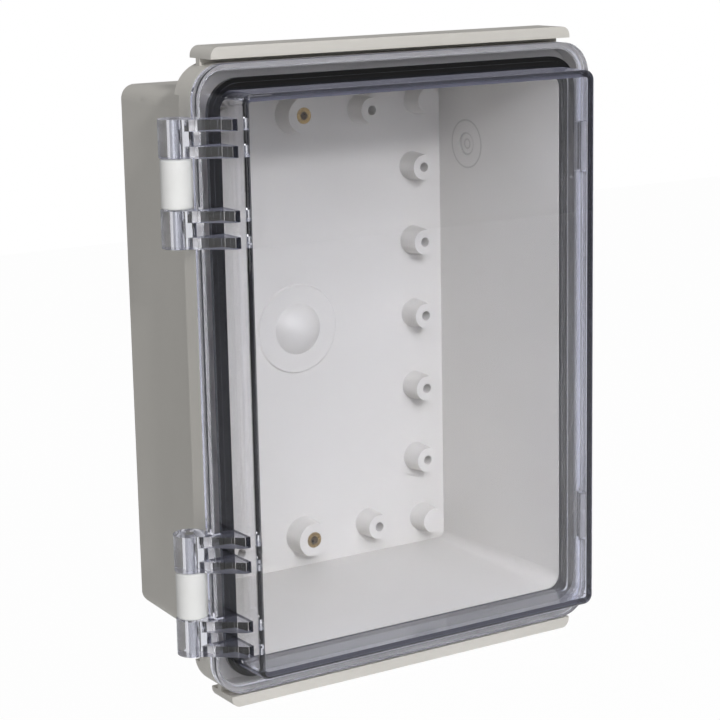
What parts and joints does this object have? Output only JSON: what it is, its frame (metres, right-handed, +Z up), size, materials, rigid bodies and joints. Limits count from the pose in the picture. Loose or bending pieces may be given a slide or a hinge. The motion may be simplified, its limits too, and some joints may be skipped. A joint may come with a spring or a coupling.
{
  "type": "hinged polycarbonate enclosure",
  "caption": "Wall-mounting hinged enclosure: a grey moulded box with screw bosses, a clear raised-window door with seal, ribbed hinge knuckles and hook latches.",
  "frame": {"origin": "middle of the flat rear face, the face that sits on the wall", "axes": "+Y points into the wall, so the door faces -Y; +X is to the right as the door is seen from the front, with the hinges on the left; +Z is up"},
  "size_m": [0.2444, 0.13, 0.3114],
  "materials": {
    "base_grey": "light grey moulded polycarbonate, fine matt grain",
    "door_clear": "clear polycarbonate, polished",
    "seal_black": "black foamed-in seal",
    "hinge_white": "off-white moulded plastic",
    "latch_grey": "light grey moulded plastic",
    "pin_steel": "plain stainless pin",
    "insert_brass": "turned brass, knurled outside"
  },
  "bodies": {
    "base": {"base_shell": "base_grey", "hinge_block_upper": "hinge_white", "hinge_block_lower": "hinge_white", "hinge_pin_upper": "pin_steel", "hinge_pin_lower": "pin_steel", "latch_pin_upper": "pin_steel", "latch_pin_lower": "pin_steel", "insert_top": "insert_brass", "insert_bottom": "insert_brass"},
    "door": {"door_cover": "door_clear", "door_gasket": "seal_black"},
    "latch_upper": {"latch_upper": "latch_grey"},
    "latch_lower": {"latch_lower": "latch_grey"}
  },
  "joints": [
    {"name": "door_hinge", "type": "hinge", "parent": "base", "child": "door", "pos_m": [-0.11849, -0.102, 0], "axis": [0, 0, -1], "range_deg": [0, 180]},
    {"name": "latch_upper_pivot", "type": "hinge", "parent": "base", "child": "latch_upper", "pos_m": [0.11249, -0.083, 0.096], "axis": [0, 0, 1], "range_deg": [0, 90]},
    {"name": "latch_lower_pivot", "type": "hinge", "parent": "base", "child": "latch_lower", "pos_m": [0.11249, -0.083, -0.096], "axis": [0, 0, 1], "range_deg": [0, 90]}
  ]
}
